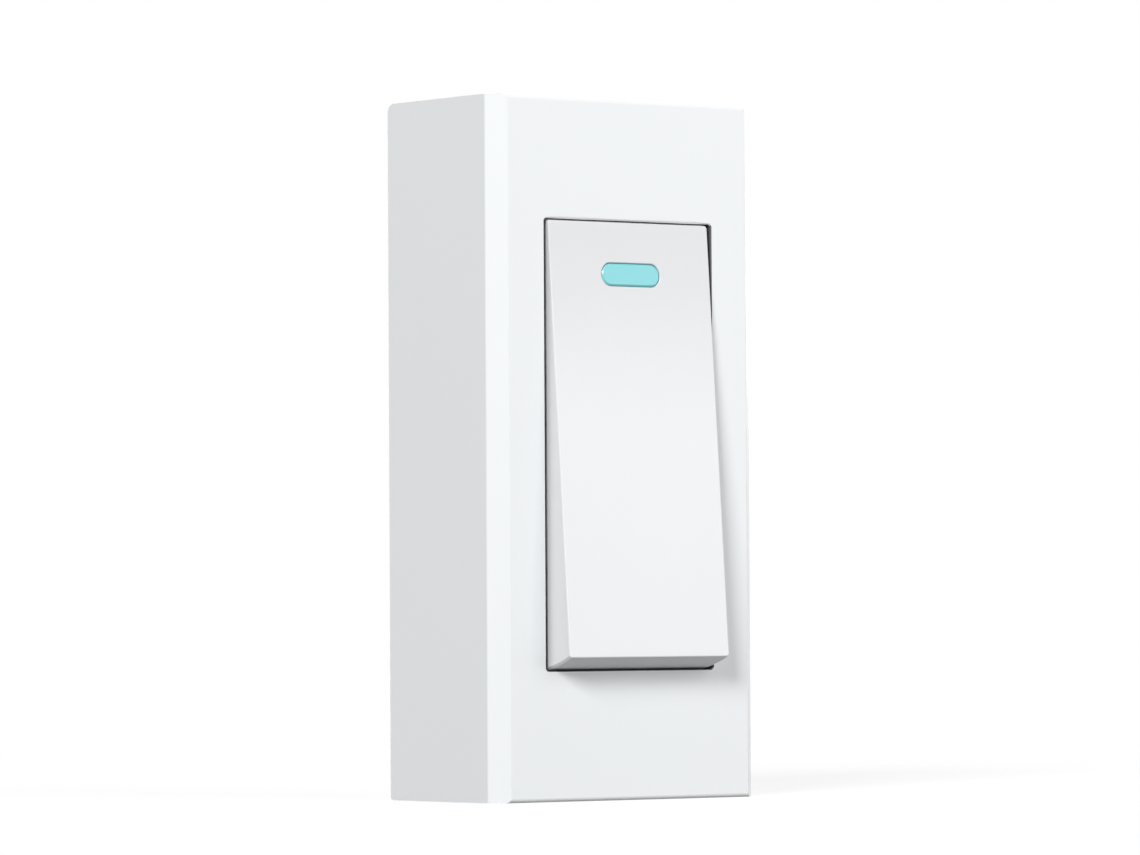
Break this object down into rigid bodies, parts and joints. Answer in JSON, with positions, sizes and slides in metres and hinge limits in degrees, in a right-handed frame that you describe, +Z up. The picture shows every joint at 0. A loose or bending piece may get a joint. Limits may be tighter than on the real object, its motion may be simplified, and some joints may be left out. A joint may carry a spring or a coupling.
{
  "type": "wall light switch",
  "caption": "Narrow surface-mounted wall switch with a tall rocker, a blue-green indicator and a rocking contact mechanism inside.",
  "frame": {"origin": "middle of the flat back, in the plane of the wall", "axes": "+Z up along the long side, +Y into the wall, front faces -Y, +X to the right seen from the front"},
  "size_m": [0.041, 0.0259, 0.086],
  "materials": {
    "cover_plastic": "smooth white moulded plastic, half gloss",
    "rocker_plastic": "smooth white moulded plastic, half gloss",
    "indicator_plastic": "blue-green moulded plastic",
    "base_plastic": "matt off-white plastic",
    "cell_plastic": "matt pale insulating plastic",
    "frame_plastic": "matt grey plastic",
    "carrier_plastic": "matt natural plastic",
    "plunger_plastic": "smooth natural plastic",
    "spring_steel": "drawn spring wire",
    "terminal_brass": "stamped brass strip",
    "contact_metal": "pale contact alloy",
    "plated_steel": "zinc-plated steel"
  },
  "bodies": {
    "housing": {"front_cover": "cover_plastic", "rear_base": "base_plastic", "mechanism_body": "cell_plastic", "mechanism_frame": "frame_plastic", "common_terminal": "terminal_brass", "load_terminal": "terminal_brass", "fixed_contact": "contact_metal", "common_clamp_plate": "plated_steel", "load_clamp_plate": "plated_steel", "common_terminal_screw": "plated_steel", "load_terminal_screw": "plated_steel", "upper_mechanism_screw": "plated_steel", "lower_mechanism_screw": "plated_steel"},
    "rocker": {"rocker": "rocker_plastic", "indicator_insert": "indicator_plastic", "rocker_carrier": "carrier_plastic", "plunger_spring": "spring_steel"},
    "plunger": {"plunger": "plunger_plastic"},
    "contact_arm": {"contact_arm": "terminal_brass", "moving_contact": "contact_metal"}
  },
  "joints": [
    {"name": "rocker_tilt", "type": "hinge", "parent": "housing", "child": "rocker", "pos_m": [0, -0.015, 0.0005], "axis": [1, 0, 0], "range_deg": [0, 8.48]},
    {"name": "plunger_slide", "type": "slide", "parent": "rocker", "child": "plunger", "axis": [0, -0.9973, 0.074], "range_m": [0, 0.0008], "stiffness_N_per_m": 300, "springref_m": -0.001, "deforming": ["plunger_spring"]},
    {"name": "contact_arm_tilt", "type": "hinge", "parent": "housing", "child": "contact_arm", "pos_m": [0, -0.007, 0.0005], "axis": [1, 0, 0], "range_deg": [-14, 0]}
  ],
  "couplings": [
    {"joint": "contact_arm_tilt", "follows": "rocker_tilt", "ratio": -1.6495}
  ]
}
